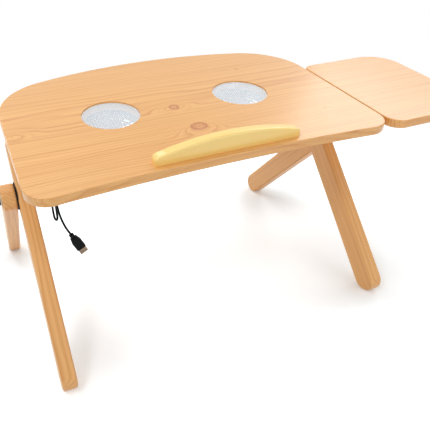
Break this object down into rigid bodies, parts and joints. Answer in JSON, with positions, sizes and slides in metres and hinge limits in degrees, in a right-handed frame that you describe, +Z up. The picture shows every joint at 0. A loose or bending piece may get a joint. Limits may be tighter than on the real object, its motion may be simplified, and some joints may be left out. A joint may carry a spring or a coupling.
{
  "type": "laptop table",
  "caption": "Folding wooden laptop table: tilted desk with mesh-covered fan openings and a raised stopper, side leaf, and crossed legs on clamping pivots.",
  "frame": {"origin": "middle of the desk board's top face, between the two fan openings, at mount laptop_surface", "axes": "+X to the right along the desk towards the side leaf, +Y towards the back, +Z up; the desk rises 9 degrees towards the back"},
  "size_m": [0.8438, 0.4794, 0.385],
  "materials": {
    "board_wood": "clear satin lacquer on light pine",
    "leg_wood": "clear satin lacquer on light pine",
    "stopper_yellow": "polished pale yellow",
    "mesh_steel": "fine woven wire",
    "fan_plastic": "moulded, slightly textured",
    "steel": "zinc plated",
    "screw_steel": "zinc plated",
    "bracket_steel": "grey satin paint",
    "disc_plastic": "moulded",
    "knob_plastic": "moulded",
    "cord_sheath": "smooth sheath",
    "tie_plastic": "moulded",
    "hook_steel": "black satin paint",
    "plug_plastic": "moulded",
    "plug_metal": "plated sheet",
    "plug_insert": "moulded"
  },
  "bodies": {
    "desk": {"desk_board": "board_wood", "stopper": "stopper_yellow", "stopper_screws": "screw_steel", "fan_screws": "screw_steel", "bracket_screws": "screw_steel", "hook_screw": "screw_steel", "tie_screw": "screw_steel", "cord_gland": "cord_sheath", "cord_lead": "cord_sheath", "cord_hank": "cord_sheath", "cord_tail": "cord_sheath", "hank_tie": "tie_plastic", "tie_mount": "tie_plastic", "cord_hook": "hook_steel", "plug_grip": "plug_plastic", "plug_shell": "plug_metal", "plug_tongue": "plug_insert", "left_fan_mesh": "mesh_steel", "left_fan_frame": "fan_plastic", "left_fan_guard": "fan_plastic", "left_leg_bracket": "bracket_steel", "left_bracket_disc": "disc_plastic", "right_fan_mesh": "mesh_steel", "right_fan_frame": "fan_plastic", "right_fan_guard": "fan_plastic", "right_leg_bracket": "bracket_steel", "right_bracket_disc": "disc_plastic"},
    "left_front_leg_body": {"left_front_leg": "leg_wood", "left_front_leg_tilt_disc": "disc_plastic", "left_front_leg_brace_disc": "disc_plastic", "left_tilt_bolt": "steel", "left_brace_bolt": "steel", "left_tilt_washer": "steel", "left_brace_washer": "steel"},
    "left_rear_leg_body": {"left_rear_leg": "leg_wood", "left_rear_leg_disc": "disc_plastic"},
    "left_tilt_knob_body": {"left_tilt_knob": "knob_plastic"},
    "left_brace_knob_body": {"left_brace_knob": "knob_plastic"},
    "left_fan_rotor_body": {"left_fan_rotor": "fan_plastic", "left_fan_axle": "steel"},
    "right_front_leg_body": {"right_front_leg": "leg_wood", "right_front_leg_tilt_disc": "disc_plastic", "right_front_leg_brace_disc": "disc_plastic", "right_tilt_bolt": "steel", "right_brace_bolt": "steel", "right_tilt_washer": "steel", "right_brace_washer": "steel"},
    "right_rear_leg_body": {"right_rear_leg": "leg_wood", "right_rear_leg_disc": "disc_plastic"},
    "right_tilt_knob_body": {"right_tilt_knob": "knob_plastic"},
    "right_brace_knob_body": {"right_brace_knob": "knob_plastic"},
    "right_fan_rotor_body": {"right_fan_rotor": "fan_plastic", "right_fan_axle": "steel"},
    "side_leaf_body": {"side_leaf": "board_wood", "leaf_rods": "steel", "leaf_collars": "steel"}
  },
  "joints": [
    {"name": "left_front_leg_fold", "type": "hinge", "parent": "desk", "child": "left_front_leg_body", "pos_m": [-0.288, 0.02264, -0.04704], "axis": [1, 0, 0], "range_deg": [-38, 30]},
    {"name": "left_rear_leg_fold", "type": "hinge", "parent": "left_front_leg_body", "child": "left_rear_leg_body", "pos_m": [-0.3153, -0.02267, -0.10299], "axis": [1, 0, 0], "range_deg": [-84, 12]},
    {"name": "left_tilt_knob_turn", "type": "hinge", "parent": "left_front_leg_body", "child": "left_tilt_knob_body", "pos_m": [-0.258, 0.02264, -0.04704], "axis": [-1, 0, 0], "range_deg": [0, 540]},
    {"name": "left_brace_knob_turn", "type": "hinge", "parent": "left_front_leg_body", "child": "left_brace_knob_body", "pos_m": [-0.338, -0.02267, -0.10299], "axis": [-1, 0, 0], "range_deg": [0, 540]},
    {"name": "left_fan_spin", "type": "hinge", "parent": "desk", "child": "left_fan_rotor_body", "pos_m": [-0.123, 0.00006, -0.02277], "axis": [0, -0.1564, 0.9877], "continuous": true},
    {"name": "right_front_leg_fold", "type": "hinge", "parent": "desk", "child": "right_front_leg_body", "pos_m": [0.288, 0.02264, -0.04704], "axis": [1, 0, 0], "range_deg": [-38, 30]},
    {"name": "right_rear_leg_fold", "type": "hinge", "parent": "right_front_leg_body", "child": "right_rear_leg_body", "pos_m": [0.3153, -0.02267, -0.10299], "axis": [1, 0, 0], "range_deg": [-84, 12]},
    {"name": "right_tilt_knob_turn", "type": "hinge", "parent": "right_front_leg_body", "child": "right_tilt_knob_body", "pos_m": [0.258, 0.02264, -0.04704], "axis": [1, 0, 0], "range_deg": [0, 540]},
    {"name": "right_brace_knob_turn", "type": "hinge", "parent": "right_front_leg_body", "child": "right_brace_knob_body", "pos_m": [0.338, -0.02267, -0.10299], "axis": [1, 0, 0], "range_deg": [0, 540]},
    {"name": "right_fan_spin", "type": "hinge", "parent": "desk", "child": "right_fan_rotor_body", "pos_m": [0.123, 0.00006, -0.02277], "axis": [0, -0.1564, 0.9877], "continuous": true},
    {"name": "side_leaf_slide", "type": "slide", "parent": "desk", "child": "side_leaf_body", "axis": [1, 0, 0], "range_m": [0, 0.045]}
  ]
}
